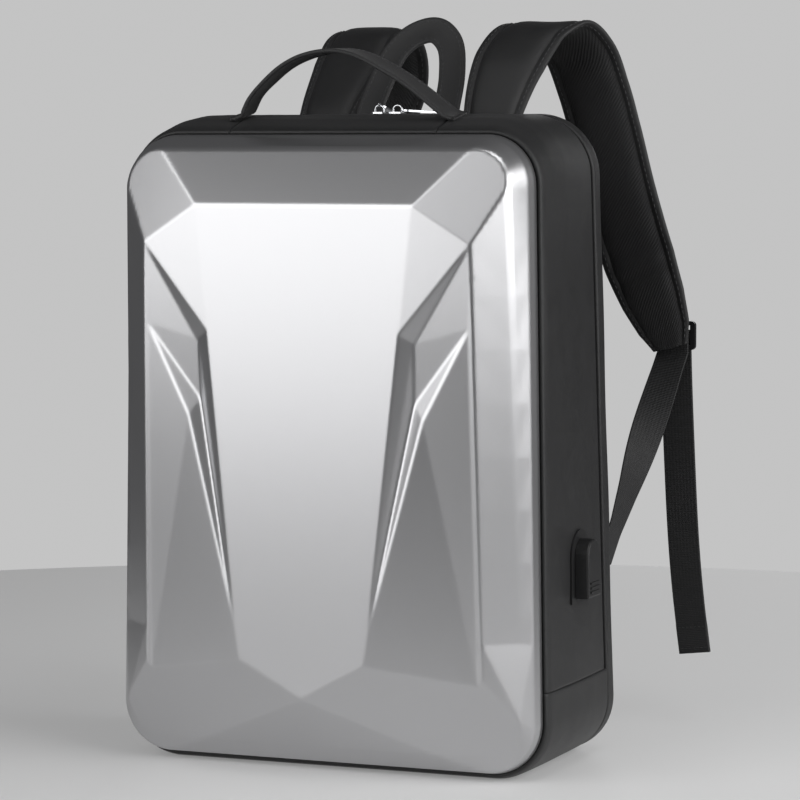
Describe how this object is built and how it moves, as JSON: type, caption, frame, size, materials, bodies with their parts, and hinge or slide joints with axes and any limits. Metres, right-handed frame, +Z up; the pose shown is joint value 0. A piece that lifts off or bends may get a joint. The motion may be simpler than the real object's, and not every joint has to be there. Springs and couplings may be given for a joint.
{
  "type": "hard shell backpack",
  "caption": "Hard shell backpack with a faceted moulded front, fabric sides and base, a zip round the rear edge, a padded back, a top handle, a grab loop and arched shoulder straps.",
  "frame": {"origin": "centre of the flat bottom face the bag stands on, midway between its left and right sides", "axes": "+Z up, -Y towards the moulded shell in front, +X to the right of somebody facing the shell"},
  "size_m": [0.3928, 0.334, 0.5429],
  "materials": {
    "silver_shell": "fine-grained metallic silver",
    "black_fabric": "smooth coated weave",
    "black_mesh": "padded mesh",
    "black_webbing": "ribbed webbing",
    "black_rubber": "satin",
    "black_plastic": "satin",
    "zip_coil": "woven tape with a nylon coil",
    "bright_metal": "polished"
  },
  "bodies": {
    "bag": {"shell": "silver_shell", "shell_trim": "black_rubber", "side_panel_right": "black_fabric", "side_panel_left": "black_fabric", "top_panel": "black_fabric", "base_panel": "black_fabric", "zip_tape": "zip_coil", "rear_band": "black_fabric", "back_panel": "black_mesh", "slider_left": "bright_metal", "slider_right": "bright_metal", "top_handle": "black_fabric", "grab_loop": "black_fabric", "strap_right": "black_mesh", "strap_left": "black_mesh", "buckle_right": "black_plastic", "buckle_left": "black_plastic", "webbing_right": "black_webbing", "webbing_left": "black_webbing", "anchor_tab_right": "black_fabric", "anchor_tab_left": "black_fabric", "port_patch": "black_rubber", "port_cover": "black_rubber"},
    "pull_right": {"pull_right": "bright_metal"},
    "pull_left": {"pull_left": "bright_metal"}
  },
  "joints": [
    {"name": "pull_right_swing", "type": "hinge", "parent": "bag", "child": "pull_right", "pos_m": [0.00725, 0.03, 0.4724], "axis": [0, -1, 0], "range_deg": [0, 150]},
    {"name": "pull_left_swing", "type": "hinge", "parent": "bag", "child": "pull_left", "pos_m": [-0.00725, 0.03, 0.4759], "axis": [1, 0, 0], "range_deg": [0, 150]}
  ]
}
